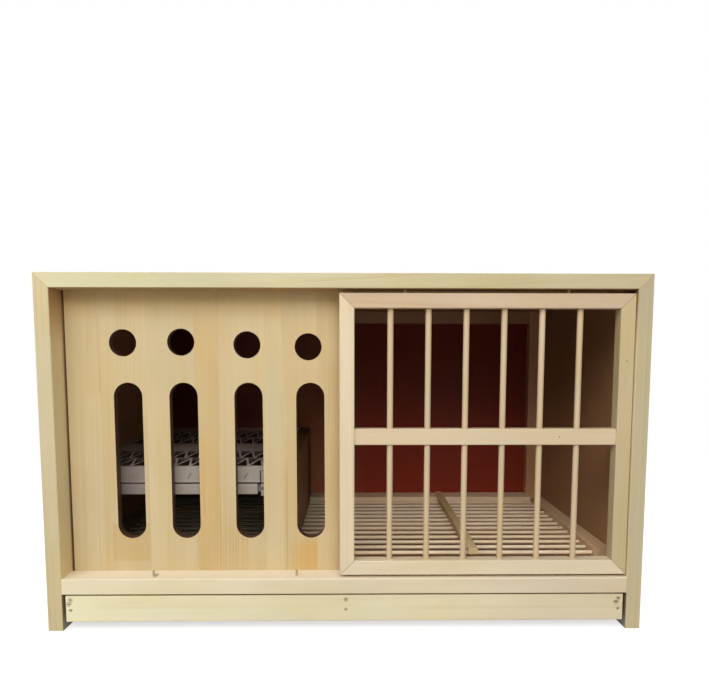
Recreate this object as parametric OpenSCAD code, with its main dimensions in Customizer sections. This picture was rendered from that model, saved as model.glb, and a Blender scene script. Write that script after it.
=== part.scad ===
// Wooden pigeon nest box with two sliding leaves, a rod floor, a nest platform and a dropping tray.
// Millimetres. X runs along the front, Y from the front to the back, Z up.
// The origin is the middle of the footprint, on the ground under the side boards.

/* [Casing] */
// Width over the side boards
box_w = 800; // [700:1:1000]
// Depth from the front edges to the back face
box_d = 450; // [400:1:600]
// Height over the top board
box_h = 475; // [440:1:600]
// Thickness of the side boards
side_t = 20; // [15:0.5:25]
// Thickness of the top board
top_t = 19.5; // [16:0.5:25]
// Thickness of the back panel
back_t = 5; // [3:0.5:9]
// Height of the back panel's lower edge
back_z = 10; // [4:1:20]
// Width of the small chamfer on the long edges of the stock
edge_c = 0.8; // [0.3:0.1:1.5]

/* [Front rail] */
// Height of the front rail's lower edge
rail_z = 50; // [46:1:60]
// Height of the front rail's section
rail_h = 21; // [16:1:24]
// Thickness of the front rail behind the panel's groove
rail_lip = 8; // [6:0.5:12]

/* [Rear frame] */
// Width of the rear posts, along X
post_w = 26; // [20:1:32]
// Depth of the rear posts and rails, along Y
post_d = 20; // [14:1:26]
// Height of the rear top rail's section
rear_rail_h = 23.5; // [18:0.5:32]

/* [Grille door] */
// Setback of the door behind the front edges
door_setback = 4; // [2:0.5:5]
// How far the door reaches past the middle of the box
door_lap = 8; // [4:0.5:14]
// Gap between the front rail and the door
door_gap = 3.6; // [3:0.1:4.5]
// Gap between the door and the top board
door_top_gap = 5.3; // [4.5:0.1:6]
// Width of the mitred stock
stock_w = 19.5; // [16:0.5:24]
// Thickness of the mitred stock
stock_t = 20; // [18:0.5:21]
// Height of the middle rail's section
mid_h = 21.4; // [16:0.1:26]
// Height of the middle rail's lower edge over the door's lower edge
mid_z = 176.4; // [140:0.1:210]
// Setback of the middle rail behind the stiles
mid_setback = 3; // [1:0.5:5]
// Diameter of the door's bars
bar_d = 8; // [6:0.5:9]
// Number of bars
bar_count = 6; // [4:1:8]
// Distance of the first bar's axis from the left stile
bar_first = 47.5; // [30:0.5:60]
// Distance of the last bar's axis from the right stile
bar_last = 50.4; // [30:0.1:60]
// Depth of the bars' sockets
socket_depth = 8; // [5:0.5:10]

/* [Door guides] */
// Diameter of the guide pins on the front rail
pin_d = 3; // [2:0.1:4]
// Height of the guide pins over the front rail
pin_h = 7.4; // [6:0.1:8]
// Diameter of the pegs on the door's top edge
peg_d = 4; // [3:0.1:5]
// Reach of the pegs into the top board
peg_reach = 4.2; // [3:0.1:6]
// Distance of each peg from its end of the door
peg_inset = 86; // [60:1:120]
// Play of the pins and pegs on each side in their grooves
track_play = 0.4; // [0.3:0.1:0.8]

/* [Carved panel] */
// Thickness of the panel
panel_t = 15; // [12:0.5:17]
// How far the closed panel reaches past the middle of the box
panel_lap = 8; // [4:0.5:14]
// Gap between the left side board and the closed panel
panel_left_gap = 3; // [1:0.5:5]
// Space between the door's back and the panel
leaf_gap = 13; // [6:0.5:14]
// Depth of the panel's grooves
groove_depth = 5; // [4:0.5:7]
// Diameter of the round holes
hole_d = 36.5; // [24:0.5:44]
// Width of the tall slots
slot_w = 38.5; // [24:0.5:44]
// Height of the slots' lower ends over the front rail
slot_low = 46; // [30:0.5:60]
// Distance of the slots' upper ends from the top board
slot_high = 123; // [110:0.5:150]
// Distance of the first slot's middle line from the panel's left edge
slot_first = 81.5; // [50:0.5:90]
// Distance of the last slot's middle line from the panel's right edge
slot_last = 56.5; // [40:0.5:80]

/* [Floor] */
// Height of the floor's side rails and rear board
floor_top = 94.5; // [92:0.5:100]
// Thickness of the floor's side rails and rear board
floor_t = 20; // [16:0.5:24]
// Width of the floor's side rails
floor_rail_w = 23; // [18:0.5:30]
// Width of the floor's rear board
floor_board_w = 44; // [40:1:90]
// Width of the floor's front rail
floor_front_w = 10; // [7:0.5:12]
// Height of the floor's front rail
floor_front_h = 18; // [10:0.5:24]
// Gap between the first rod and the floor's front rail
floor_front_drop = 5; // [2:0.5:8]
// Depth of the rods below the side rails' top
rod_drop = 7; // [6.5:0.5:10]
// Distance of the first rod's axis behind the floor's front
rod_first = 11; // [6:0.5:20]
// Diameter of the floor rods
rod_d = 5.5; // [4:0.5:7]
// Distance between the floor rods' axes
rod_pitch = 26.8; // [18:0.1:32]
// Width of the strip over the rods
strip_w = 13; // [10:0.5:24]
// Thickness of the strip over the rods
strip_t = 9; // [8.5:0.5:12]
// Distance of the strip from the middle of the box
strip_x = 181; // [120:1:240]
// Gap between the panel's path and the strip's front end
strip_gap = 1.5; // [1:0.5:8]

/* [Dropping tray] */
// Height of the tray's lower edge
tray_z = 12; // [8:1:16]
// Gap between the tray front and the front rail
tray_top_gap = 2; // [1:0.5:5]
// Thickness of the tray front
tray_front_t = 12; // [9:0.5:15]
// Gap between the tray front and each side board
tray_side_gap = 4.5; // [2:0.5:8]
// Thickness of the tray's walls
tray_wall_t = 10; // [6:0.5:14]
// Gap between the tray's walls and the front rail above them
tray_wall_gap = 6; // [3:0.5:12]
// Thickness of the tray's bottom
tray_bottom_t = 4; // [3:0.5:5]
// Width of the runners
runner_w = 16; // [12:0.5:24]
// Height of the runners' section
runner_h = 10; // [3:0.5:11]
// Distance of the runners' front ends behind the tray front
runner_setback = 32; // [20:1:80]
// Setback of the tray front
tray_setback = 1; // [0:0.5:3]

/* [Nest platform] */
// Distance of the platform's side board from the middle of the box
platform_x = 74; // [60:1:120]
// Thickness of the platform's side board
platform_board_t = 20; // [12:0.5:24]
// Height of the mat's front edge
mat_front_z = 213.5; // [190:0.5:240]
// Rise of the mat towards the back
mat_rise = 15.5; // [8:0.5:24]
// Height of the mat's front lip
lip_h = 23; // [14:0.5:30]
// Thickness of the mat's deck
deck_t = 5; // [3:0.5:7]
// Thickness of the mat's lip
lip_t = 3; // [2:0.5:4]
// Height of the platform rails' sections
platform_rail_h = 16; // [12:0.5:20]
// Thickness of the platform rails
platform_rail_t = 12; // [8:0.5:16]
// Distance between the mat's openings
mesh_pitch = 20.7; // [14:0.1:30]
// Width of the mat's bars between the openings
mesh_bar = 3.5; // [2:0.1:5]

/* [Fasteners] */
// Diameter of the nails' shanks in the back panel
nail_d = 1.6; // [1:0.1:2.4]
// Diameter of the nails' heads
nail_head_d = 4; // [3:0.1:5]
// Length of the nails
nail_len = 18; // [14:1:22]
// Diameter of the brads in the door and the tray front
brad_d = 1.6; // [1:0.1:2]
// Length of the door's brads
door_brad_len = 12; // [8:0.5:14]
// Length of the tray front's brads
tray_brad_len = 20; // [16:0.5:30]

/* [Hidden] */
$fn = 48;

// Colours of the dry pine, the red back and the plastic mat
pine = [0.89, 0.84, 0.69];
pale_pine = [0.90, 0.86, 0.72];
warm_pine = [0.84, 0.76, 0.58];
shaded_pine = [0.62, 0.53, 0.42];
red_paint = [0.36, 0.10, 0.09];
steel = [0.62, 0.62, 0.60];
mat_grey = [0.80, 0.80, 0.78];

// Clearances
run_gap = 0.4;
seat_gap = 0.1;
glue_gap = 0.05;
end_gap = 0.6;
cut_over = 1;

// Casing planes
front = -box_d / 2;
rear = box_d / 2;
inner_x = box_w / 2 - side_t;
top_under = box_h - top_t;
back_face = rear - back_t;
post_front = back_face - post_d;
post_x = inner_x - post_w;
rail_top = rail_z + rail_h;

// Door planes
door_front = front + door_setback;
door_back = door_front + stock_t;
door_mid_y = door_front + stock_t / 2;
door_right = inner_x - end_gap;
door_left = -door_lap;
door_low = rail_top + door_gap;
door_top = top_under - door_top_gap;
mid_low = door_low + mid_z;
mid_front = door_front + mid_setback;
bar_low = door_low + stock_w - socket_depth;
bar_top = door_top - stock_w + socket_depth;
bar_x0 = door_left + stock_w + bar_first;
bar_pitch = (door_right - stock_w - bar_last - bar_x0) / (bar_count - 1);

// Guide pins along the front rail, two for each half of the box: the outer pins'
// distances from the side boards, and the inner pins' distances from the middle
pin_wall_left = 119;
pin_wall_right = 90;
pin_mid_left = 67;
pin_mid_right = 76;
guide_pin_x = [-inner_x + pin_wall_left, -pin_mid_left, pin_mid_right, inner_x - pin_wall_right];
pin_sink = 8;
pin_groove_w = pin_d + 2 * track_play;
pin_groove_roof = rail_top + pin_h + run_gap;
peg_sink = 8;
peg_groove_w = peg_d + 2 * track_play;
peg_groove_roof = top_under + peg_reach + run_gap;

// Panel planes
panel_front = door_back + leaf_gap;
panel_back = panel_front + panel_t;
panel_left = -inner_x + panel_left_gap;
panel_w = panel_lap - panel_left;
rail_d = panel_back + rail_lip - front;
panel_low = rail_top - groove_depth + run_gap;
panel_top = top_under + groove_depth - run_gap;
slot_len = top_under - slot_high - rail_top - slot_low;
// The openings are marked out by hand: how far each slot is off an even pitch
slot_shift = [0, -7.3, -1.7, 0];
slot_pitch = (panel_w - slot_first - slot_last) / (len(slot_shift) - 1);
// Distances of the slots' middle lines from the panel's left edge
slot_x = [for (i = [0 : len(slot_shift) - 1]) slot_first + i * slot_pitch + slot_shift[i]];
// How far each round hole is off its slot's middle line, and its distance from the top board
hole_shift = [-5, -2, -1, -2.5];
hole_drop = [69.5, 68.5, 72, 74.5];

// Floor planes
floor_front = front + rail_d + end_gap;
floor_low = floor_top - floor_t;
floor_side_x = inner_x - floor_rail_w;
rod_top = floor_top - rod_drop;
rod_z = rod_top - rod_d / 2;
floor_board_front = back_face - floor_board_w;
rod_y0 = floor_front + rod_first;
rod_count = floor((floor_board_front - rod_d - rod_y0) / rod_pitch) + 1;
rod_socket = 8;

// Tray planes
tray_box_inset = 1;
tray_y0 = front + tray_setback;
tray_wall_y = tray_y0 + tray_front_t;
tray_rear = back_face - end_gap;
tray_sheet_z = tray_z + 2;
tray_wall_z = tray_sheet_z + tray_bottom_t;
tray_wall_top = rail_z - tray_wall_gap;
tray_w = 2 * (inner_x - tray_side_gap);
tray_box_x = tray_w / 2 - tray_box_inset;
runner_top = tray_sheet_z - run_gap;

// Platform planes
platform_front = panel_back + 5;
platform_rear = post_front - 1;
board_right = -platform_x;
board_left = board_right - platform_board_t;
mat_left = -inner_x + 1;
mat_right = board_left - 1;
mat_len = platform_rear - platform_front;
mat_slope = atan2(mat_rise, mat_len);
mat_w = mat_right - mat_left;
platform_rail_top = mat_front_z - lip_h - run_gap;
platform_rail_low = platform_rail_top - platform_rail_h;

// The corner clip: its tongue stands beside the mat's lip, its foot reaches below the rail,
// and a tenon of the rail runs through it to the side board
clip_reach = 26;
clip_tongue_w = 4.5;
clip_arm_h = 5.7;
clip_foot_h = 7.4;
clip_drop = 2;
rail_end_gap = 5;
lip_end_gap = 1.4;
tenon_inset = 3;
tenon_setback = 5;
tongue_left = board_left - clip_reach;
tongue_right = tongue_left + clip_tongue_w;
platform_rail_right = tongue_left - rail_end_gap;

// The mat's perforated bands: where each begins and ends behind the mat's front edge
mat_band = [[8, 118], [188, 312]];

// Nails and brads
nail_pitch = 120;
nail_head_t = 1;
// Heights of the tray front's brads: the lower ones are set from its lower edge, the upper
// ones from the walls' top
brad_rise = 16;
brad_edge = 2;
tray_brad_z = [tray_z + brad_rise, tray_wall_top - brad_edge];
// Height of the right stile's brad over the middle rail
stile_brad_rise = 90;

// Corner points of a rectangle with its four corners cut off
function cut_rect(a0, a1, b0, b1, c) = [
    [a0 + c, b0], [a1 - c, b0], [a1, b0 + c], [a1, b1 - c],
    [a1 - c, b1], [a0 + c, b1], [a0, b1 - c], [a0, b0 + c]];

// Stock that runs along X, with its long edges chamfered
module stock_x(x0, x1, y0, y1, z0, z1, c = edge_c) {
    translate([x0, 0, 0])
        rotate([90, 0, 90])
            linear_extrude(x1 - x0)
                polygon(cut_rect(y0, y1, z0, z1, c));
}

// Stock that runs along Y, with its long edges chamfered
module stock_y(x0, x1, y0, y1, z0, z1, c = edge_c) {
    translate([0, y1, 0])
        rotate([90, 0, 0])
            linear_extrude(y1 - y0)
                polygon(cut_rect(x0, x1, z0, z1, c));
}

// Stock that runs along Z, with its long edges chamfered
module stock_z(x0, x1, y0, y1, z0, z1, c = edge_c) {
    translate([0, 0, z0])
        linear_extrude(z1 - z0)
            polygon(cut_rect(x0, x1, y0, y1, c));
}

// A plain block between two corners
module block(x0, x1, y0, y1, z0, z1) {
    translate([x0, y0, z0])
        cube([x1 - x0, y1 - y0, z1 - z0]);
}

// A prism along Y over an outline in the front plane
module front_prism(y0, y1, points) {
    translate([0, y1, 0])
        rotate([90, 0, 0])
            linear_extrude(y1 - y0)
                polygon(points);
}

// A prism along X over an outline in the side plane
module side_prism(x0, x1, points) {
    translate([x0, 0, 0])
        rotate([90, 0, 90])
            linear_extrude(x1 - x0)
                polygon(points);
}

// A round rod along X
module rod_along_x(x0, x1, y, z, d) {
    translate([x0, y, z])
        rotate([0, 90, 0])
            cylinder(h = x1 - x0, d = d);
}

// A round rod along Y
module rod_along_y(x, y0, y1, z, d) {
    translate([x, y1, z])
        rotate([90, 0, 0])
            cylinder(h = y1 - y0, d = d);
}

// Outline of one side board: mitred at the top
function side_outline(s) = [
    [s * box_w / 2, 0], [s * box_w / 2, box_h], [s * inner_x, top_under], [s * inner_x, 0]];

module side_board(s) {
    x0 = s > 0 ? inner_x : -box_w / 2;
    intersection() {
        stock_z(x0, x0 + side_t, front, rear, 0, box_h);
        front_prism(front - cut_over, rear + cut_over, side_outline(s));
    }
}

module left_side_board() {
    color(pine) side_board(-1);
}

module right_side_board() {
    color(pine) side_board(1);
}

// The top board lies between the mitres, and its underside holds both upper tracks
module top_board() {
    color(pine) difference() {
        intersection() {
            stock_x(-box_w / 2, box_w / 2, front, rear, top_under, box_h);
            front_prism(front - cut_over, rear + cut_over, [
                [-box_w / 2, box_h], [box_w / 2, box_h], [inner_x, top_under], [-inner_x, top_under]]);
        }
        block(-inner_x, inner_x, door_mid_y - peg_groove_w / 2, door_mid_y + peg_groove_w / 2,
            top_under - cut_over, peg_groove_roof);
        block(-inner_x, inner_x, panel_front - run_gap, panel_back + run_gap,
            top_under - cut_over, top_under + groove_depth);
    }
}

// The front rail carries the panel's groove and the sockets of the guide pins
module front_rail() {
    color(pale_pine) difference() {
        stock_x(-inner_x, inner_x, front, front + rail_d, rail_z, rail_top);
        block(-inner_x - cut_over, inner_x + cut_over, panel_front - run_gap, panel_back + run_gap,
            rail_top - groove_depth, rail_top + cut_over);
        for (x = guide_pin_x)
            translate([x, door_mid_y, rail_top - pin_sink])
                cylinder(h = pin_sink + cut_over, d = pin_d + 2 * glue_gap);
    }
}

// Places of the nails along the back panel's edges, as X and Z
nail_cols = floor(post_x / nail_pitch);
nail_rows = floor((top_under - rail_z - 2 * rear_rail_h) / nail_pitch);
nail_row_pitch = (top_under - rail_z - 2 * rear_rail_h) / nail_rows;
nail_col_x = inner_x - post_w / 2;
nail_places = concat(
    [for (i = [-nail_cols : nail_cols]) [i * nail_pitch, top_under - rear_rail_h / 2]],
    [for (i = [-nail_cols : nail_cols]) [i * nail_pitch, (rail_z + floor_low) / 2]],
    [for (s = [-1, 1]) for (j = [0 : nail_rows])
        [s * nail_col_x, rail_z + rear_rail_h + j * nail_row_pitch]]);

// The back panel's nails, or with a clearance their seats
module nails(gap = 0) {
    for (p = nail_places) {
        rod_along_y(p[0], rear - nail_len - gap, rear - nail_head_t, p[1], nail_d + 2 * gap);
        rod_along_y(p[0], rear - nail_head_t - gap, rear + gap, p[1], nail_head_d + 2 * gap);
    }
}

module back_panel_nails() {
    color(steel) nails();
}

module back_panel() {
    color(red_paint) difference() {
        block(-inner_x, inner_x, back_face, rear, back_z, top_under);
        nails(glue_gap);
    }
}

module rear_post(s) {
    x0 = s > 0 ? post_x : -inner_x;
    difference() {
        stock_z(x0, x0 + post_w, post_front, back_face, rail_z, top_under);
        nails(glue_gap);
    }
}

module left_rear_post() {
    color(warm_pine) rear_post(-1);
}

module right_rear_post() {
    color(warm_pine) rear_post(1);
}

module rear_rail(z0, z1) {
    difference() {
        stock_x(-post_x, post_x, post_front, back_face, z0, z1);
        nails(glue_gap);
    }
}

module rear_top_rail() {
    color(warm_pine) rear_rail(top_under - rear_rail_h, top_under);
}

module rear_bottom_rail() {
    color(warm_pine) rear_rail(rail_z, floor_low);
}

// Outlines of the door's mitred pieces: each ends on the corners' diagonals
function stile_outline(x_out, x_in) = [
    [x_out, door_low], [x_in, door_low + stock_w], [x_in, door_top - stock_w], [x_out, door_top]];
function door_rail_outline(z_out, z_in) = [
    [door_left, z_out], [door_right, z_out], [door_right - stock_w, z_in], [door_left + stock_w, z_in]];

// The groove under the door, open at both ends, that runs over the guide pins
module pin_groove() {
    block(door_left - cut_over, door_right + cut_over, door_mid_y - pin_groove_w / 2,
        door_mid_y + pin_groove_w / 2, door_low - cut_over, pin_groove_roof);
}

module door_bar_set(gap = 0) {
    for (i = [0 : bar_count - 1])
        translate([bar_x0 + i * bar_pitch, door_mid_y, bar_low - gap])
            cylinder(h = bar_top - bar_low + 2 * gap, d = bar_d + 2 * gap);
}

// The door's brads, or with a clearance their seats
module door_brad_set(gap = 0) {
    rod_along_y(door_right - stock_w / 2, door_front - gap, door_front + door_brad_len + gap,
        mid_low + mid_h + stile_brad_rise, brad_d + 2 * gap);
    rod_along_y(bar_x0 + (bar_count - 1.5) * bar_pitch, mid_front - gap, mid_front + door_brad_len + gap,
        mid_low + mid_h / 2, brad_d + 2 * gap);
}

module door_peg_set(gap = 0) {
    for (x = [door_left + peg_inset, door_right - peg_inset])
        translate([x, door_mid_y, door_top - peg_sink - gap])
            cylinder(h = peg_sink + door_top_gap + peg_reach + gap, d = peg_d + 2 * gap);
}

module door_stile(x_out, x_in) {
    x0 = min(x_out, x_in);
    difference() {
        intersection() {
            stock_z(x0, x0 + stock_w, door_front, door_back, door_low, door_top);
            front_prism(door_front - cut_over, door_back + cut_over, stile_outline(x_out, x_in));
        }
        pin_groove();
        door_brad_set(glue_gap);
    }
}

module door_left_stile() {
    color(pale_pine) door_stile(door_left, door_left + stock_w);
}

module door_right_stile() {
    color(pale_pine) door_stile(door_right, door_right - stock_w);
}

module door_rail(z_out, z_in) {
    z0 = min(z_out, z_in);
    difference() {
        intersection() {
            stock_x(door_left, door_right, door_front, door_back, z0, z0 + stock_w);
            front_prism(door_front - cut_over, door_back + cut_over, door_rail_outline(z_out, z_in));
        }
        pin_groove();
        door_bar_set(glue_gap);
        door_peg_set(glue_gap);
    }
}

module door_top_rail() {
    color(pale_pine) door_rail(door_top, door_top - stock_w);
}

module door_bottom_rail() {
    color(pale_pine) door_rail(door_low, door_low + stock_w);
}

// The middle rail is set back behind the stiles, and the bars pass through it
module door_mid_rail() {
    color(pale_pine) difference() {
        stock_x(door_left + stock_w, door_right - stock_w, mid_front, door_back, mid_low, mid_low + mid_h);
        door_bar_set(glue_gap);
        door_brad_set(glue_gap);
    }
}

module door_bars() {
    color(pale_pine) door_bar_set();
}

module door_pegs() {
    color(warm_pine) door_peg_set();
}

module door_brads() {
    color(steel) door_brad_set();
}

module guide_pins() {
    color(warm_pine)
        for (x = guide_pin_x)
            translate([x, door_mid_y, rail_top - pin_sink + seat_gap])
                cylinder(h = pin_sink - seat_gap + pin_h, d = pin_d);
}

// A tall slot with round ends
module tall_slot(x, z0) {
    translate([x, z0 + slot_w / 2])
        circle(d = slot_w);
    translate([x, z0 + slot_len - slot_w / 2])
        circle(d = slot_w);
    translate([x - slot_w / 2, z0 + slot_w / 2])
        square([slot_w, slot_len - slot_w]);
}

// The panel runs in the rear grooves of the front rail and the top board
module carved_panel() {
    color(warm_pine) translate([0, panel_back, 0])
        rotate([90, 0, 0])
            linear_extrude(panel_t)
                difference() {
                    translate([panel_left, panel_low])
                        square([panel_w, panel_top - panel_low]);
                    for (i = [0 : len(slot_x) - 1])
                        translate([panel_left + slot_x[i] + hole_shift[i], top_under - hole_drop[i]])
                            circle(d = hole_d);
                    for (x = slot_x)
                        tall_slot(panel_left + x, rail_top + slot_low);
                }
}

module floor_ledge(s) {
    x0 = s > 0 ? floor_side_x : -inner_x;
    stock_y(x0, x0 + floor_rail_w, floor_front, post_front, rail_z, floor_low);
}

module left_floor_ledge() {
    color(warm_pine) floor_ledge(-1);
}

module right_floor_ledge() {
    color(warm_pine) floor_ledge(1);
}

// The floor's rods, or with a clearance their sockets
module rod_set(gap = 0) {
    reach = floor_side_x + rod_socket + gap;
    for (i = [0 : rod_count - 1])
        rod_along_x(-reach, reach, rod_y0 + i * rod_pitch, rod_z, rod_d + 2 * gap);
}

module floor_side_rail(s) {
    x0 = s > 0 ? floor_side_x : -inner_x;
    difference() {
        stock_y(x0, x0 + floor_rail_w, floor_front, post_front, floor_low, floor_top);
        rod_set(glue_gap);
    }
}

module floor_left_rail() {
    color(warm_pine) floor_side_rail(-1);
}

module floor_right_rail() {
    color(warm_pine) floor_side_rail(1);
}

// The floor's front rail joins the ledges under the first rod
module floor_front_rail() {
    rail_under_rod = rod_top - rod_d - floor_front_drop;
    color(warm_pine)
        stock_x(-floor_side_x, floor_side_x, floor_front, floor_front + floor_front_w,
            rail_under_rod - floor_front_h, rail_under_rod);
}

// The rear board is notched round the rear posts and housed for the strip
module floor_rear_board() {
    color(warm_pine) difference() {
        stock_x(-floor_side_x, floor_side_x, floor_board_front, back_face, floor_low, floor_top);
        for (s = [-1, 1])
            block(s * post_x - (s < 0 ? post_w : seat_gap), s * post_x + (s < 0 ? seat_gap : post_w),
                post_front - seat_gap, back_face + cut_over, floor_low - cut_over, floor_top + cut_over);
        block(strip_x - strip_w / 2 - seat_gap, strip_x + strip_w / 2 + seat_gap,
            floor_board_front - cut_over, back_face + cut_over, rod_top, floor_top + cut_over);
    }
}

module floor_rods() {
    color(pale_pine) rod_set();
}

// The strip lies over the rods and reaches from the panel's path to the back panel
module floor_strip() {
    color(shaded_pine)
        stock_y(strip_x - strip_w / 2, strip_x + strip_w / 2, panel_back + strip_gap, back_face,
            rod_top + seat_gap, rod_top + seat_gap + strip_t);
}

module tray_runner(s) {
    x0 = s > 0 ? inner_x - runner_w : -inner_x;
    stock_y(x0, x0 + runner_w, tray_wall_y + runner_setback, back_face,
        runner_top - runner_h, runner_top);
}

module left_tray_runner() {
    color(warm_pine) tray_runner(-1);
}

module right_tray_runner() {
    color(warm_pine) tray_runner(1);
}

// The tray's brads, or with a clearance their seats
module tray_brad_set(gap = 0) {
    for (x = [-tray_box_x + tray_wall_t / 2, 0, tray_box_x - tray_wall_t / 2])
        for (z = tray_brad_z)
            rod_along_y(x, tray_y0 - gap, tray_y0 + tray_brad_len + gap, z, brad_d + 2 * gap);
}

module tray_front() {
    color(pale_pine) difference() {
        stock_x(-tray_w / 2, tray_w / 2, tray_y0, tray_wall_y, tray_z, rail_z - tray_top_gap);
        tray_brad_set(glue_gap);
    }
}

module tray_wall(x0) {
    difference() {
        stock_y(x0, x0 + tray_wall_t, tray_wall_y, tray_rear, tray_wall_z, tray_wall_top);
        tray_brad_set(glue_gap);
    }
}

module tray_left_wall() {
    color(warm_pine) tray_wall(-tray_box_x);
}

module tray_right_wall() {
    color(warm_pine) tray_wall(tray_box_x - tray_wall_t);
}

module tray_back_wall() {
    color(warm_pine)
        stock_x(-tray_box_x + tray_wall_t, tray_box_x - tray_wall_t, tray_rear - tray_wall_t, tray_rear,
            tray_wall_z, tray_wall_top);
}

module tray_divider() {
    color(warm_pine) difference() {
        stock_y(-tray_wall_t / 2, tray_wall_t / 2, tray_wall_y, tray_rear - tray_wall_t,
            tray_wall_z, tray_wall_top);
        tray_brad_set(glue_gap);
    }
}

module tray_bottom() {
    color(warm_pine)
        block(-tray_box_x, tray_box_x, tray_wall_y, tray_rear, tray_sheet_z, tray_wall_z);
}

module tray_brads() {
    color(steel) tray_brad_set();
}

// The tenon at the platform front rail's right end, or with a clearance its seat in the clip
module rail_tenon(gap = 0) {
    block(platform_rail_right - cut_over, board_left + (gap > 0 ? cut_over : 0),
        platform_front + tenon_setback - gap, platform_front + platform_rail_t + (gap > 0 ? cut_over : 0),
        platform_rail_low + tenon_inset - gap, platform_rail_top - tenon_inset + gap);
}

// The platform's front rail lies under the mat's lip
module platform_front_rail() {
    color(mat_grey) {
        stock_x(-inner_x, platform_rail_right, platform_front, platform_front + platform_rail_t,
            platform_rail_low, platform_rail_top);
        rail_tenon();
    }
}

// The platform's rear rail lies under the mat's deck
module platform_rear_rail() {
    z1 = mat_front_z - deck_t + (mat_len - platform_rail_t) * tan(mat_slope) - run_gap;
    color(warm_pine)
        stock_x(-inner_x, board_left, platform_rear - platform_rail_t, platform_rear,
            z1 - platform_rail_h, z1);
}

// The side board stands on the rods, and behind them on the floor's rear board
module platform_side_board() {
    rod_seat = rod_top + seat_gap;
    board_seat = floor_top + seat_gap;
    step_y = floor_board_front - seat_gap;
    color(warm_pine) side_prism(board_left, board_right, [
        [platform_front, rod_seat], [step_y, rod_seat], [step_y, board_seat], [platform_rear, board_seat],
        [platform_rear, mat_front_z + mat_rise], [platform_front, mat_front_z]]);
}

// The clip joins the front rail to the side board, and its tongue stands beside the mat's lip
module mat_corner_clip() {
    clip_back = platform_front + lip_t;
    clip_low = platform_rail_low - clip_drop;
    arm_low = platform_rail_top - clip_arm_h;
    color(mat_grey) difference() {
        union() {
            block(tongue_right, board_left, platform_front, platform_front + platform_rail_t,
                clip_low, platform_rail_top);
            block(tongue_left, board_left, platform_front, clip_back, arm_low, platform_rail_top);
            block(tongue_left, board_left, platform_front, clip_back, clip_low, clip_low + clip_foot_h);
            block(tongue_left, tongue_right, platform_front, clip_back,
                arm_low, mat_front_z - deck_t - run_gap);
        }
        rail_tenon(glue_gap);
    }
}

// A row of openings between slanting bars, seen from above
module mesh_row(x0, y0, count, depth) {
    slant = atan2(depth, mesh_pitch / 2);
    inset = mesh_bar / 2 / sin(slant);
    tip = depth * (1 - 2 * inset / mesh_pitch);
    for (i = [0 : count - 1])
        translate([x0 + i * mesh_pitch, y0]) {
            polygon([[inset, 0], [mesh_pitch - inset, 0], [mesh_pitch / 2, tip]]);
            polygon([[mesh_pitch / 2 + inset, depth], [3 * mesh_pitch / 2 - inset, depth],
                [mesh_pitch, depth - tip]]);
        }
}

// The deck's plan, with its two bands of openings
module deck_plan(length) {
    count = floor((mat_w - mesh_bar) / mesh_pitch - 1);
    x0 = (mat_w - (count + 0.5) * mesh_pitch) / 2;
    difference() {
        square([mat_w, length]);
        for (band = mat_band) {
            depth = (band[1] - band[0] - mesh_bar) / 2;
            mesh_row(x0, band[0], count, depth);
            mesh_row(x0, band[1] - depth, count, depth);
        }
    }
}

// The mat slopes up towards the back, and its lip hangs down at the front
module nest_mat() {
    color(mat_grey) {
        translate([mat_left, platform_front, mat_front_z])
            rotate([mat_slope, 0, 0])
                translate([0, 0, -deck_t])
                    linear_extrude(deck_t)
                        deck_plan((mat_len - run_gap) / cos(mat_slope));
        block(mat_left, tongue_left - lip_end_gap, platform_front, platform_front + lip_t,
            mat_front_z - lip_h, mat_front_z - deck_t / 2);
    }
}

top_board();
left_side_board();
right_side_board();
front_rail();
left_rear_post();
right_rear_post();
rear_top_rail();
rear_bottom_rail();
back_panel();
back_panel_nails();
door_left_stile();
door_right_stile();
door_top_rail();
door_bottom_rail();
door_mid_rail();
door_bars();
door_pegs();
door_brads();
guide_pins();
carved_panel();
left_floor_ledge();
right_floor_ledge();
floor_front_rail();
floor_rear_board();
floor_left_rail();
floor_right_rail();
floor_rods();
floor_strip();
left_tray_runner();
right_tray_runner();
tray_front();
tray_left_wall();
tray_right_wall();
tray_back_wall();
tray_divider();
tray_bottom();
tray_brads();
platform_front_rail();
platform_rear_rail();
platform_side_board();
mat_corner_clip();
nest_mat();
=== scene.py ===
import math
import random
from collections import namedtuple

import bmesh
import bpy
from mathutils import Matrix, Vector


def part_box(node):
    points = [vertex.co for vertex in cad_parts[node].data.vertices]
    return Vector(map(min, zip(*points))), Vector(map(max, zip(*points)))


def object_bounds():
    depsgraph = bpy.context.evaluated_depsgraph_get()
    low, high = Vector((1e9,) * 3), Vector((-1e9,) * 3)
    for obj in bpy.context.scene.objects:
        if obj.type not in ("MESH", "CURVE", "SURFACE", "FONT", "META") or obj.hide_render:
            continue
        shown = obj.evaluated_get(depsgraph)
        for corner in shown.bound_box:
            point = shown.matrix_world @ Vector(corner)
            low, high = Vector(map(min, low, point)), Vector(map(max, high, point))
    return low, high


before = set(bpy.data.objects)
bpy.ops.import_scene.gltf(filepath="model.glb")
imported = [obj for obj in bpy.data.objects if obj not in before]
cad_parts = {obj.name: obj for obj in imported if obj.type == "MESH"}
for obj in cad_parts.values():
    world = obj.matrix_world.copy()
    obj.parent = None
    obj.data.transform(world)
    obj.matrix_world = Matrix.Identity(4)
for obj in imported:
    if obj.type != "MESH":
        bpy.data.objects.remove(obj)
CAD_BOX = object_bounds()

# The photograph's frame in pixels, and the pinhole that was fitted to it, in metres and degrees
PHOTO_W = 709
PHOTO_H = 700
FOCAL_PX = 650.0
CENTRE_PX = (362.7, 419.7)
EYE = (0.0102, -1.0735, 0.3680)
PITCH_DOWN = 5.55
TURN_RIGHT = 0.82
ROLL = -0.07
SENSOR_MM = 36.0

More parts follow.
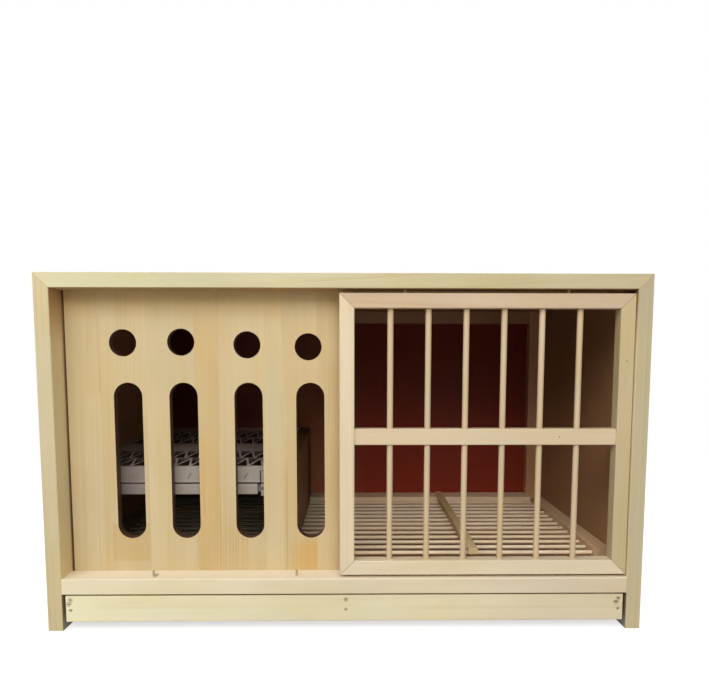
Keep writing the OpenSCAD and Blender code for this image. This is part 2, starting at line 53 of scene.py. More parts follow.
# Planes of the box, taken from the frame
CASE_LOW, CASE_HIGH = CAD_BOX
INNER_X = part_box("right_side_board")[0].x
CASE_STOCK = CASE_HIGH.x - INNER_X
TOP_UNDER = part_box("right_rear_post")[1].z
PANEL_LOW, PANEL_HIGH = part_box("carved_panel")
DOOR_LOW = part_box("door_left_stile")[0]
DOOR_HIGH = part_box("door_right_stile")[1]
DOOR_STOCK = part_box("door_left_stile")[1].x - DOOR_LOW.x
TRAY_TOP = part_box("tray_front")[1].z
BRADS_LOW, BRADS_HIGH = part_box("tray_brads")
MAT_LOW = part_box("nest_mat")[0]
LIP_RAIL_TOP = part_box("platform_front_rail")[1].z
BOARD_LOW, BOARD_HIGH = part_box("platform_side_board")
BACK_INNER_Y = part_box("back_panel")[0].y
PINS_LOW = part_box("guide_pins")[0]

# Axes by number, for the direction of a face
Y_AXIS = 1
Z_AXIS = 2


def srgb(red, green, blue):
    """A colour of 0 to 255 on the screen, as the linear colour that a shader takes."""
    def linear(value):
        value /= 255
        return value / 12.92 if value <= 0.04045 else ((value + 0.055) / 1.055) ** 2.4
    return (linear(red), linear(green), linear(blue), 1.0)


def grey(value):
    return (value, value, value, 1.0)


def three(colour):
    """A colour's red, green and blue, or the socket that gives them."""
    return colour if isinstance(colour, bpy.types.NodeSocket) else colour[:3]


# Tones of the surfaces in plain light
AMBER_TONE = srgb(204, 168, 104)
EDGE_TONE = srgb(84, 56, 40)
GLUE_TONE = srgb(140, 104, 66)
# Smudges, and painted shade in gaps
SMUDGE_AND_SHADE_TONE = srgb(112, 88, 54)
STAIN_TONE = srgb(163, 121, 82)
# Painted shade under the nest platform
PLATFORM_SHADE_TONE = srgb(56, 58, 40)
RED_TONE = srgb(137, 44, 19)
PLASTIC_TONE = srgb(152, 141, 128)
# Dark marks, and painted shade on the mat and on the platform's board
GRIME_AND_SHADE_TONE = srgb(46, 34, 24)
STEEL_TONE = srgb(84, 66, 42)
# Painted light on the front rail's top
PAINTED_TOP_LIGHT_TONE = srgb(236, 224, 200)
INNER_TONE = srgb(232, 200, 162)
DOWEL_TONE = srgb(203, 181, 147)
PIN_TONE = srgb(176, 160, 120)


class Shader:
    """The node tree of a material or a world, built with short calls."""

    def __init__(self, owner):
        owner.use_nodes = True
        self.owner = owner
        self.tree = owner.node_tree
        self.tree.nodes.clear()

    def add(self, kind, inputs=None, **settings):
        """A new node, whose inputs are values or the sockets that give them."""
        node = self.tree.nodes.new(kind)
        for key, value in settings.items():
            setattr(node, key, value)
        for key, value in (inputs or {}).items():
            if isinstance(value, bpy.types.NodeSocket):
                self.tree.links.new(value, node.inputs[key])
            else:
                node.inputs[key].default_value = value
        return node

    def calc(self, operation, a, b=0.0, c=0.0):
        return self.add("ShaderNodeMath", {0: a, 1: b, 2: c}, operation=operation).outputs[0]

    def minus(self, a, b):
        return self.calc("SUBTRACT", a, b)

    def times(self, *factors):
        """The product of all the factors."""
        product = factors[0]
        for factor in factors[1:]:
            product = self.calc("MULTIPLY", product, factor)
        return product

    def most(self, *values):
        """The largest of the values."""
        largest = values[0]
        for value in values[1:]:
            largest = self.calc("MAXIMUM", largest, value)
        return largest

    def total(self, base, *terms):
        """base plus each socket times its weight."""
        for socket, weight in terms:
            base = self.calc("MULTIPLY_ADD", socket, weight, base)
        return base

    def length(self, a, b):
        squares = self.calc("MULTIPLY_ADD", a, a, self.times(b, b))
        return self.calc("SQRT", squares)

    def from_edge(self, value, low, high):
        """How far value lies inside the nearer of two edges."""
        aside = self.calc("ABSOLUTE", self.minus(value, (low + high) / 2))
        return self.minus((high - low) / 2, aside)

    def place(self):
        """The point's X, Y and Z in the row frame at rest."""
        point = self.add("ShaderNodeTexCoord").outputs["Object"]
        return self.add("ShaderNodeSeparateXYZ", {0: point}).outputs

    def facing(self, axis):
        """How squarely the surface faces along an axis: 0 is edge on and 1 is square."""
        normal = self.add("ShaderNodeTexCoord").outputs["Normal"]
        return self.calc("ABSOLUTE", self.add("ShaderNodeSeparateXYZ", {0: normal}).outputs[axis])

    def noise(self, x, y, z, scale, detail=2.0, roughness=0.5):
        vector = self.add("ShaderNodeCombineXYZ", {0: x, 1: y, 2: z}).outputs[0]
        inputs = {"Vector": vector, "Scale": scale, "Detail": detail, "Roughness": roughness}
        return self.add("ShaderNodeTexNoise", inputs).outputs["Fac"]

    def noise_1d(self, value, scale):
        inputs = {"W": value, "Scale": scale, "Detail": 1.0}
        return self.add("ShaderNodeTexNoise", inputs, noise_dimensions="1D").outputs["Fac"]

    def step(self, value, start, end, low=0.0, high=1.0):
        """A smooth step from low to high as value goes from start to end."""
        inputs = {"Value": value, "From Min": start, "From Max": end, "To Min": low, "To Max": high}
        return self.add("ShaderNodeMapRange", inputs, interpolation_type="SMOOTHSTEP").outputs["Result"]

    def fall(self, value, start, end, high=1.0):
        """A smooth step from high down to 0 as value goes from start to end."""
        return self.step(value, start, end, high, 0.0)

    def band(self, value, low, high, soft):
        """1 where value lies between low and high, with soft edges."""
        rise = self.step(value, low - soft, low + soft)
        return self.times(rise, self.fall(value, high - soft, high + soft))

    def spot(self, x, z, centre_x, centre_z, radius):
        """1 at a point of the front plane, fading to 0 at the radius."""
        away = self.length(self.minus(x, centre_x), self.minus(z, centre_z))
        return self.fall(away, 0.35 * radius, radius)

    def mix(self, factor, a, b):
        return self.add("ShaderNodeMix", {0: factor, 6: a, 7: b}, data_type="RGBA").outputs[2]

    def ramp(self, factor, stops, interpolation="EASE"):
        node = self.add("ShaderNodeValToRGB", {0: factor})
        ramp = node.color_ramp
        ramp.interpolation = interpolation
        while len(ramp.elements) < len(stops):
            ramp.elements.new(0.5)
        for element, (position, colour) in zip(ramp.elements, stops):
            element.position = position
            element.color = colour
        return node

    def tint(self, colour, share):
        """The colour times a share of red, green and blue."""
        inputs = {0: three(colour), 1: share}
        return self.add("ShaderNodeVectorMath", inputs, operation="MULTIPLY").outputs["Vector"]

    def shade(self, colour, factor):
        """The colour made lighter or darker by a factor."""
        inputs = {0: three(colour), "Scale": factor}
        return self.add("ShaderNodeVectorMath", inputs, operation="SCALE").outputs["Vector"]

    def close(self, colour, roughness, height, bump, depth, **sockets):
        """The finished material, with a bump of the given strength and depth from the height."""
        bump_inputs = {"Strength": bump, "Distance": depth, "Height": height}
        normal = self.add("ShaderNodeBump", bump_inputs).outputs["Normal"]
        inputs = {"Base Color": colour, "Roughness": roughness, "Normal": normal}
        inputs.update(sockets)
        shader = self.add("ShaderNodeBsdfPrincipled", inputs)
        self.add("ShaderNodeOutputMaterial", {"Surface": shader.outputs["BSDF"]})
        return self.owner


def new_shader(name):
    return Shader(bpy.data.materials.new(name))


# Growth rings: late wood rises slowly through a ring and ends sharply
RING_STOPS = [(0.0, grey(0.05)), (0.5, grey(0.2)), (0.86, grey(1.0)), (0.93, grey(0.85)), (1.0, grey(0.05))]
# Late wood and warmer wood as a share of the tone
LATE_SHARE = (0.80, 0.68, 0.50)
WARM_SHARE = (0.985, 0.945, 0.84)
# The pith lies beside the board: its usual distance, and how much distance, angle and lean vary
PITH_REACH = 0.065
PITH_REACH_SPREAD = 0.025
PITH_ANGLE_SPREAD = 0.8
PITH_LEAN_SPREAD = 0.03
# How far apart the staves' own pieces of grain lie at most, across and along
PIECE_ASIDE = 0.35
PIECE_ALONG = 4.0
# A board's paler edges, partly wear and partly painted highlight: how far from the corner line they begin
# and stop fading
ARRIS_START = 0.0004
ARRIS_END = 0.0019


class Wood(Shader):
    """Sawn softwood: growth rings round a pith beside the board, with streaks and fibres along the grain.

    grain names the axes along the grain, across the wide face and through the thickness."""

    def __init__(self, node, grain, seed, ring, staves=None):
        super().__init__(bpy.data.materials.new("wood_" + node))
        self.node = node
        self.low, self.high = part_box(node)
        self.xyz = self.place()
        self.x, self.y, self.z = self.xyz
        self.along, self.across, self.through = ("XYZ".index(axis) for axis in grain)
        self.run = self.xyz[self.along]
        self.a = self.xyz[self.across]
        self.b = self.xyz[self.through]
        self.stave_light = None
        if staves:
            ring = self.cut_staves(staves, ring)
        self.late = self.late_wood(seed, ring)
        self.streak = self.drawn_out(0.05, scale=150.0, detail=3.0, roughness=0.6)
        self.fibre = self.drawn_out(0.018, scale=900.0, roughness=0.6)
        self.broad = self.drawn_out(0.35, scale=13.0, detail=3.0)
        self.warm = self.noise(self.b, self.a, self.times(self.run, 0.3), scale=19.0)

    def cut_staves(self, staves, ring):
        """Give each stave its own brightness, piece of grain and amber, and return its ring width."""
        low = self.low[self.across]
        high = self.high[self.across]
        share = self.calc("DIVIDE", self.minus(self.a, low), high - low)
        ramp = self.ramp(share, [(start, values) for start, *values in staves], "CONSTANT")
        parts = self.add("ShaderNodeSeparateColor", {0: ramp.outputs["Color"]}).outputs
        self.stave_light, piece, self.amber = parts
        self.a = self.total(self.a, (piece, PIECE_ASIDE))
        self.run = self.total(self.run, (piece, PIECE_ALONG))
        return self.times(ramp.outputs["Alpha"], 2 * ring)

    def drawn_out(self, share, **look):
        """Noise drawn out along the grain, where only this share of the way counts."""
        return self.noise(self.a, self.b, self.times(self.run, share), **look)

    def from_pith(self, seed):
        """The distance from the pith, whose place and lean follow from the seed."""
        reach = PITH_REACH + PITH_REACH_SPREAD * math.sin(seed * 5.1)
        angle = math.pi / 2 + PITH_ANGLE_SPREAD * math.sin(seed * 2.4)
        lean = PITH_LEAN_SPREAD * math.sin(seed * 3.3)
        middle = (self.low + self.high) / 2
        pith_a = middle[self.across] + reach * math.cos(angle)
        pith_b = middle[self.through] + reach * math.sin(angle)
        bend = self.drawn_out(0.2, scale=5.0, detail=1.5)
        off_a = self.total(self.minus(self.a, pith_a), (self.run, lean), (bend, 0.020))
        return self.length(off_a, self.minus(self.b, pith_b))

    def late_wood(self, seed, ring):
        """The dark part of the growth rings, stronger in some years and in some places."""
        radius = self.from_pith(seed)
        years = self.total(self.calc("DIVIDE", radius, ring), (self.noise_1d(radius, 70.0), 3.0))
        rings = self.ramp(self.calc("FRACT", years), RING_STOPS).outputs["Color"]
        dense = self.step(self.noise_1d(radius, 190.0), 0.3, 0.7, 0.35, 1.3)
        shown = self.step(self.drawn_out(0.25, scale=14.0), 0.40, 0.66, 0.15, 1.0)
        return self.times(rings, dense, shown)

    def arris(self):
        """1 on the board's edges, where two of its faces meet, fading out in 1.5 mm."""
        x, y, z = (self.from_edge(*span) for span in zip(self.xyz, self.low, self.high))
        second = self.calc("MINIMUM", self.most(x, y), z)
        middle = self.most(self.calc("MINIMUM", x, y), second)
        return self.fall(middle, ARRIS_START, ARRIS_END)

    def colour(self, tone, contrast):
        """The tone with warmer places, late wood, paler edges (wear and painted highlight) and darker end
        grain.
        """
        warm = self.step(self.warm, 0.35, 0.7)
        early = self.mix(warm, tone, self.tint(tone, WARM_SHARE))
        base = self.mix(self.times(self.late, contrast), early, self.tint(early, LATE_SHARE))
        end_grain = self.step(self.facing(self.along), 0.75, 0.95)
        # Paler edges: partly wear, partly painted highlight
        edge_wear_and_highlight = self.times(self.arris(), self.step(self.broad, 0.4, 0.65))
        bright = self.total(0.765, (self.broad, 0.30), (self.streak, 0.11), (self.fibre, 0.06),
                            (edge_wear_and_highlight, 0.025), (end_grain, -0.14))
        if self.stave_light is not None:
            bright = self.times(bright, self.stave_light, 2.0)
        return self.shade(base, bright)

    def finish(self, colour, rough=0.42, **sockets):
        """The material, whose roughness and bump follow the grain."""
        roughness = self.total(rough, (self.streak, 0.22))
        height = self.total(self.fibre, (self.late, 0.35))
        return self.close(colour, roughness, height, bump=0.12, depth=0.0003, **sockets)


def give(node, material):
    """The CAD node shows this material all over."""
    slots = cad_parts[node].data.materials
    slots.clear()
    slots.append(material)


# A stave of an edge-glued board: where it starts as a share of the width, its brightness (0.5 is
# plain), its own piece of grain, its amber, and its ring width (0.5 is plain)
Stave = namedtuple("Stave", "start light piece amber ring")
CASE_BOARDS = ("top_board", "left_side_board", "right_side_board")
CASE_STAVES = 6


def glued_staves(seed, count):
    """Unevenly wide staves that are a little unlike each other."""
    draw = random.Random(seed)
    starts = [0.0] + [(i + draw.uniform(-0.2, 0.2)) / count for i in range(1, count)]
    return [Stave(start, light=0.5 + draw.uniform(-0.014, 0.014), piece=draw.random(),
                  amber=draw.uniform(0, 0.2), ring=draw.uniform(0.35, 0.6)) for start in starts]


# The panel's staves from left to right
PANEL_STAVES = [
    Stave(0.000, 0.514, 0.10, 0.00, 0.45),
    Stave(0.113, 0.499, 0.45, 0.12, 0.60),
    Stave(0.173, 0.501, 0.71, 0.05, 0.60),
    Stave(0.275, 0.504, 0.80, 0.00, 0.70),
    Stave(0.445, 0.486, 0.25, 0.42, 0.45),
    Stave(0.530, 0.500, 0.62, 0.14, 0.30),
    Stave(0.626, 0.499, 0.52, 0.10, 0.40),
    Stave(0.690, 0.515, 0.90, 0.00, 0.55),
    Stave(0.753, 0.499, 0.05, 0.34, 0.65),
    Stave(0.873, 0.491, 0.33, 0.26, 0.40),
]
# Shorter lengths and spots in the staves: the edges, how softly they end above and below, and the
# amber, the darkness and the grain (1 is as much again) that they add
Patch = namedtuple("Patch", "left right low high soft amber dark grain")
PANEL_PATCHES = [
    Patch(-0.3510, -0.3330, 0.3185, 0.4223, 0.001, 0.10, 0.020, 0.0),
    Patch(-0.3345, -0.3325, 0.3185, 0.4223, 0.002, 0.20, 0.060, 1.0),
    Patch(-0.3227, -0.2710, 0.0849, 0.1377, 0.003, 0.52, 0.050, 0.5),
    Patch(-0.2055, -0.1730, PANEL_LOW.z, 0.290, 0.080, 0.72, 0.010, 0.5),
    Patch(-0.1742, -0.1348, PANEL_LOW.z, 0.145, 0.020, 0.22, 0.000, 1.0),
    Patch(-0.1742, -0.1348, PANEL_LOW.z, 0.470, 0.004, 0.16, 0.000, 1.2),
    Patch(-0.1840, -0.1380, 0.3000, 0.4375, 0.001, 0.12, 0.000, 0.0),
    Patch(-0.0871, -0.0646, PANEL_LOW.z, 0.210, 0.050, 0.36, 0.015, 0.5),
    Patch(-0.0771, -0.0646, PANEL_LOW.z, 0.112, 0.010, 0.70, 0.010, 0.5),
    Patch(-0.0828, -0.0806, PANEL_LOW.z, 0.220, 0.020, 0.60, 0.120, 0.0),
    Patch(-0.0646, -0.0400, PANEL_LOW.z, 0.116, 0.014, 0.95, 0.020, 0.5),
    Patch(-0.0300, -0.0108, 0.1260, 0.3550, 0.006, 0.36, 0.020, 0.5),
    # The last patch, across the whole width under the top, is painted shade: warmer and darker under the top
    # board
    Patch(PANEL_LOW.x, PANEL_HIGH.x, 0.4250, 0.4800, 0.020, 0.52, 0.010, 0.0),
]
PANEL_GRAIN = 0.30
PATCH_SIDE_SOFT = 0.0009
# The panel's cuts lie further in from its edges than this
RIM_WIDTH = 0.01
RIM_SOFT = 0.001

# Pieces of wood: tone, grain axes, seed, contrast of the rings, ring width
WOOD = {
    "top_board": (srgb(206, 196, 159), "XYZ", 1.7, 0.35, 0.0050),
    "left_side_board": (srgb(201, 186, 148), "ZYX", 1.3, 0.45, 0.0050),
    "right_side_board": (srgb(189, 175, 139), "ZYX", 2.9, 0.45, 0.0050),
    "front_rail": (srgb(222, 208, 178), "XZY", 4.1, 0.30, 0.0040),
    "door_left_stile": (srgb(219, 201, 169), "ZXY", 2.1, 0.30, 0.0035),
    "door_right_stile": (srgb(190, 172, 134), "ZXY", 3.4, 0.30, 0.0035),
    "door_top_rail": (srgb(195, 172, 145), "XZY", 4.3, 0.30, 0.0035),
    "door_bottom_rail": (srgb(222, 205, 176), "XZY", 5.2, 0.30, 0.0035),
    "door_mid_rail": (srgb(209, 189, 158), "XZY", 6.6, 0.30, 0.0030),
    "door_bars": (DOWEL_TONE, "ZXY", 1.1, 0.35, 0.0022),
    "door_pegs": (DOWEL_TONE, "ZXY", 1.9, 0.35, 0.0022),
    "guide_pins": (PIN_TONE, "ZXY", 2.3, 0.35, 0.0022),
    "carved_panel": (srgb(202, 183, 142), "ZXY", 3.1, PANEL_GRAIN, 0.0045),
    "floor_rods": (srgb(248, 226, 195), "XYZ", 2.7, 0.45, 0.0020),
    "floor_strip": (srgb(230, 204, 152), "YXZ", 3.2, 0.60, 0.0030),
    "floor_front_rail": (INNER_TONE, "XZY", 3.7, 0.45, 0.0030),
    "floor_rear_board": (srgb(250, 226, 194), "XYZ", 4.4, 0.45, 0.0040),
    "floor_left_rail": (INNER_TONE, "YXZ", 4.9, 0.45, 0.0030),
    "floor_right_rail": (INNER_TONE, "YXZ", 5.3, 0.45, 0.0030),
    "left_floor_ledge": (INNER_TONE, "YXZ", 5.8, 0.45, 0.0030),
    "right_floor_ledge": (INNER_TONE, "YXZ", 6.1, 0.45, 0.0030),
    "left_rear_post": (INNER_TONE, "ZXY", 6.9, 0.45, 0.0030),
    "right_rear_post": (srgb(196, 148, 108), "ZXY", 7.2, 0.45, 0.0030),
    "rear_top_rail": (STAIN_TONE, "XZY", 7.7, 0.45, 0.0030),
    "rear_bottom_rail": (INNER_TONE, "XZY", 8.1, 0.45, 0.0030),
    "left_tray_runner": (INNER_TONE, "YXZ", 8.6, 0.45, 0.0030),
    "right_tray_runner": (INNER_TONE, "YXZ", 9.1, 0.45, 0.0030),
    "tray_front": (srgb(226, 216, 182), "XZY", 9.5, 0.30, 0.0050),
    "tray_left_wall": (INNER_TONE, "YZX", 9.9, 0.45, 0.0040),
    "tray_right_wall": (INNER_TONE, "YZX", 10.4, 0.45, 0.0040),
    "tray_back_wall": (INNER_TONE, "XZY", 10.9, 0.45, 0.0040),
    "tray_divider": (INNER_TONE, "YZX", 11.3, 0.45, 0.0040),
    "tray_bottom": (srgb(176, 142, 108), "XYZ", 11.8, 0.45, 0.0060),
    "platform_rear_rail": (STAIN_TONE, "XZY", 12.2, 0.45, 0.0030),
    "platform_side_board": (STAIN_TONE, "YZX", 12.7, 0.45, 0.0040),
}

# A glue line at a mitre: where it begins and stops fading aside, and past the board's inner edge
SEAM_START = 0.0003
SEAM_END = 0.0009
SEAM_STOP = 0.0005
# How deep in the wood the colour of the case's inner faces begins and stops fading
SKIN_START = 0.0002
SKIN_END = 0.0005
# Their painted shade under the top: its colour as a share of the tone, and the heights where it begins and
# is full
UNDER_TOP_SHADE_SHARE = (1.05, 0.72, 0.50)
UNDER_TOP_SHADE_LOW = 0.37
UNDER_TOP_SHADE_HIGH = 0.46
# The heights where a painted gradient over their stain begins and stops changing, and the stain's brightness
# above
STAIN_SHADE_LOW = 0.10
STAIN_SHADE_HIGH = 0.42
STAIN_SHADE_ABOVE = 0.78
STAIN_SHADE_ABOVE_LEFT = 1.35
# How softly their painted shade at the foot ends over the tray, and their stain at the panel's front
FOOT_SHADE_SOFT = 0.01
LEAF_SOFT = 0.003
# Painted shade: how fast a long piece gets darker to the right in red, green and blue, where the light falls
# off
SHADE_SLOPES = (-0.29, -0.38, -0.38)
# The radius of the tray front's brads, the unit of the smudges round them, and the depth of the painted
# shade on its top edge
BRAD_R = 0.0008
SMUDGE_SIZE = 0.0016
TRAY_EDGE = 0.001
# The floor's heavy painted shade under the platform ends over this length at the platform's board, and
# the lighter painted shade reaches this far past it
PLATFORM_SHADE_END = 0.012
PLATFORM_SHADE_PAST = 0.06
# How far before its rear end the painted shade on the platform's board begins and is full
CORNER_SHADE_START = 0.11
CORNER_SHADE_FULL = 0.05
# The dark mark beside the left guide pin: its half width, and its width as a share of its depth
PIN_MARK_REACH = 0.004
PIN_MARK_SHAPE = 0.35
# The top board lies flat under the lamps, and is duller than the upright boards
TOP_SHEEN = {"rough": 0.62, "Specular IOR Level": 0.1}


def seamed(wood, colour, low, high, stock, strength):
    """Glue lines at a mitred frame's corners, where two outer edges are equally near."""
    from_side = wood.from_edge(wood.x, low.x, high.x)
    from_end = wood.from_edge(wood.z, low.z, high.z)
    apart = wood.calc("ABSOLUTE", wood.minus(from_side, from_end))
    seam = wood.times(wood.fall(apart, SEAM_START, SEAM_END), wood.fall(from_side, stock, stock + SEAM_STOP))
    return wood.mix(wood.times(seam, strength), colour, GLUE_TONE)


def door_seamed(wood, colour):
    return seamed(wood, colour, DOOR_LOW, DOOR_HIGH, DOOR_STOCK, 0.7)


def inner_face(wood):
    """1 on the face of a case board that looks into the box."""
    if wood.node == "top_board":
        return wood.fall(wood.z, TOP_UNDER + SKIN_START, TOP_UNDER + SKIN_END)
    aside = wood.calc("ABSOLUTE", wood.x)
    return wood.fall(aside, INNER_X + SKIN_START, INNER_X + SKIN_END)


def stain_and_shade(wood):
    """The brown stain of the inner faces, with a painted gradient over the height: darker upwards as painted
    shade, but paler upwards on the left board.
    """
    above = STAIN_SHADE_ABOVE_LEFT if wood.node == "left_side_board" else STAIN_SHADE_ABOVE
    # Painted gradient over the height: painted shade darkens the stain upwards, but the left board gets
    # paler upwards
    deep = wood.step(wood.z, STAIN_SHADE_LOW, STAIN_SHADE_HIGH, 1.0, above)
    uneven = wood.total(0.6, (wood.streak, 0.4), (wood.broad, 0.4))
    return wood.shade(STAIN_TONE, wood.times(deep, uneven))


def case_finish(wood, colour):
    """Faint mitre seams, and inner faces stained behind the leaves, with painted light and shade."""
    corner_low = Vector((CASE_LOW.x, 0, CASE_HIGH.z - (CASE_HIGH.x - CASE_LOW.x)))
    colour = seamed(wood, colour, corner_low, CASE_HIGH, CASE_STOCK, 0.2)
    inner = inner_face(wood)
    # Painted light and shade on the inner faces: paler overall, darker and warmer under the top, darker at
    # the foot beside the tray
    top = wood.step(wood.z, UNDER_TOP_SHADE_LOW, UNDER_TOP_SHADE_HIGH)
    foot = wood.fall(wood.z, TRAY_TOP, TRAY_TOP + FOOT_SHADE_SOFT)
    depth = wood.times(inner, wood.total(0.28, (top, -0.62), (foot, -0.85)))
    colour = wood.shade(colour, wood.total(1.0, (depth, 1.0)))
    colour = wood.mix(wood.times(inner, top, 0.85), colour, wood.tint(colour, UNDER_TOP_SHADE_SHARE))
    behind = wood.step(wood.y, PANEL_LOW.y - LEAF_SOFT, PANEL_LOW.y + LEAF_SOFT)
    return wood.mix(wood.times(inner, behind), colour, stain_and_shade(wood))


def cut_or_back(wood):
    """1 on the walls of the panel's cuts and on its back, which are dark brown."""
    wall = wood.fall(wood.facing(Y_AXIS), 0.5, 0.8)
    inside = wood.times(wood.band(wood.x, PANEL_LOW.x + RIM_WIDTH, PANEL_HIGH.x - RIM_WIDTH, RIM_SOFT),
                        wood.band(wood.z, PANEL_LOW.z + RIM_WIDTH, PANEL_HIGH.z - RIM_WIDTH, RIM_SOFT))
    back = wood.step(wood.y, PANEL_HIGH.y - 0.0015, PANEL_HIGH.y - 0.0005)
    return wood.most(wood.times(wall, inside), back)


def in_patch(wood, patch):
    """1 inside a patch of the panel, with soft ends and sharper sides."""
    sides = wood.band(wood.x, patch.left, patch.right, PATCH_SIDE_SOFT)
    top = wood.fall(wood.z, patch.high - patch.soft, patch.high + patch.soft)
    foot = wood.step(wood.z, patch.low - patch.soft, patch.low + patch.soft)
    return wood.times(sides, top, foot)


def panel_colour(wood, tone, contrast):
    """Staves of paler and more amber wood, with dark cuts and a dark back."""
    amber = wood.amber
    plain = 1.0
    for patch in PANEL_PATCHES:
        inside = in_patch(wood, patch)
        amber = wood.most(amber, wood.times(inside, patch.amber))
        plain = wood.total(plain, (inside, -patch.dark))
        contrast = wood.total(contrast, (inside, patch.grain * PANEL_GRAIN))
    colour = wood.shade(wood.colour(wood.mix(amber, tone, AMBER_TONE), contrast), plain)
    return wood.mix(cut_or_back(wood), colour, EDGE_TONE)


def shaded_to_right(wood, colour):
    """Painted shade: a long piece gets darker and warmer towards its right end, where the light falls off.
    """
    falloff = [wood.total(1.0, (wood.x, slope)) for slope in SHADE_SLOPES]
    share = wood.add("ShaderNodeCombineXYZ", dict(enumerate(falloff))).outputs[0]
    return wood.tint(colour, share)


def darker_above(wood, colour):
    return wood.shade(colour, wood.total(1.07, (wood.z, -0.42)))


def shaded_under_platform(wood, colour):
    """Painted shade: the floor is dark under the nest platform, and less dark just past its board."""
    under = wood.fall(wood.x, BOARD_LOW.x - PLATFORM_SHADE_END, BOARD_LOW.x, 0.9)
    beside = wood.fall(wood.x, BOARD_LOW.x, BOARD_HIGH.x + PLATFORM_SHADE_PAST, 0.5)
    platform_shade = wood.shade(PLATFORM_SHADE_TONE, wood.total(0.5, (wood.broad, 0.9)))
    return wood.mix(wood.most(under, beside), colour, platform_shade)


def smudged_and_shaded(wood, colour):
    """Small dark smudges round the tray front's brads, and painted shade on its top edge, in the gap under
    the rail.
    """
    side = (BRADS_HIGH.x - BRADS_LOW.x) / 2 - BRAD_R
    low = BRADS_LOW.z + BRAD_R
    high = BRADS_HIGH.z - BRAD_R
    places = [(-side, low, 2.2), (-side, high, 3.0), (-side - 0.002, high - 0.0055, 2.8), (0, low, 2.2),
              (0, high, 2.6), (side, low, 1.8), (side, high, 2.6), (side - 0.003, high - 0.005, 3.0)]
    marks = wood.most(*(wood.spot(wood.x, wood.z, centre_x, centre_z, size * SMUDGE_SIZE)
                        for centre_x, centre_z, size in places))
    colour = wood.mix(wood.times(marks, wood.step(wood.fibre, 0.3, 0.6), 0.9), colour, SMUDGE_AND_SHADE_TONE)
    # Painted shade on the top face, in the gap under the front rail
    top_edge_shade = wood.times(wood.facing(Z_AXIS), wood.step(wood.z, TRAY_TOP - TRAY_EDGE, TRAY_TOP), 0.6)
    return wood.mix(top_edge_shade, colour, SMUDGE_AND_SHADE_TONE)


def corner_shaded(wood, colour):
    """The platform's side board is darker all over, and more towards the back as painted shade in the rear
    corner.
    """
    rear = wood.step(wood.y, BOARD_HIGH.y - CORNER_SHADE_START, BOARD_HIGH.y - CORNER_SHADE_FULL)
    return wood.mix(wood.total(0.4, (rear, 0.5)), colour, GRIME_AND_SHADE_TONE)


def rail_topped(wood, colour):
    """The front rail is paler on top as painted light from above, with a dark mark beside the left guide
    pin.
    """
    # Painted light: the top face is paler
    colour = wood.mix(wood.times(wood.facing(Z_AXIS), 0.7), colour, PAINTED_TOP_LIGHT_TONE)
    aside = wood.minus(wood.x, PINS_LOW.x + PIN_MARK_REACH)
    behind = wood.minus(wood.y, PINS_LOW.y + PIN_MARK_REACH)
    away = wood.length(aside, wood.times(behind, PIN_MARK_SHAPE))
    pin_mark = wood.times(wood.facing(Z_AXIS), wood.fall(away, 0.4 * PIN_MARK_REACH, PIN_MARK_REACH, 0.6))
    return wood.mix(pin_mark, colour, SMUDGE_AND_SHADE_TONE)


# What changes the plain wood of some pieces, in this order
TOUCHES = {
    "top_board": (shaded_to_right, case_finish),
    "left_side_board": (case_finish,),
    "right_side_board": (darker_above, case_finish),
    "front_rail": (shaded_to_right, rail_topped),
    "tray_front": (shaded_to_right, smudged_and_shaded),
    "door_left_stile": (door_seamed,),
    "door_right_stile": (door_seamed,),
    "door_top_rail": (door_seamed,),
    "door_bottom_rail": (door_seamed,),
    "floor_rods": (shaded_under_platform,),
    "floor_left_rail": (shaded_under_platform,),
    "floor_rear_board": (shaded_under_platform,),
    "platform_side_board": (corner_shaded,),
}


def staves_of(node, seed):
    """The staves of the carved panel or of a case board. Other pieces are plain wood."""
    if node == "carved_panel":
        return PANEL_STAVES
    return glued_staves(seed, CASE_STAVES) if node in CASE_BOARDS else None


def dress_wood():
    for node, (tone, grain, seed, contrast, ring) in WOOD.items():
        wood = Wood(node, grain, seed, ring, staves_of(node, seed))
        coloured = panel_colour if node == "carved_panel" else Wood.colour
        colour = coloured(wood, tone, contrast)
        for touch in TOUCHES.get(node, ()):
            colour = touch(wood, colour)
        sheen = TOP_SHEEN if node == "top_board" else {}
        give(node, wood.finish(colour, **sheen))


# The back's inner face: it is dusty behind the platform's right end, and darker left of that and above, as
# painted shade
DUST_LOW = BOARD_LOW.x - 0.14
DUST_HIGH = BOARD_HIGH.x + 0.07
DUST_SOFT = 0.06
SHADE_FULL_X = BOARD_LOW.x - 0.23
SHADE_START_Z = 0.12
SHADE_END_Z = 0.34
PAINT_SHEEN = {"Specular IOR Level": 0.25}


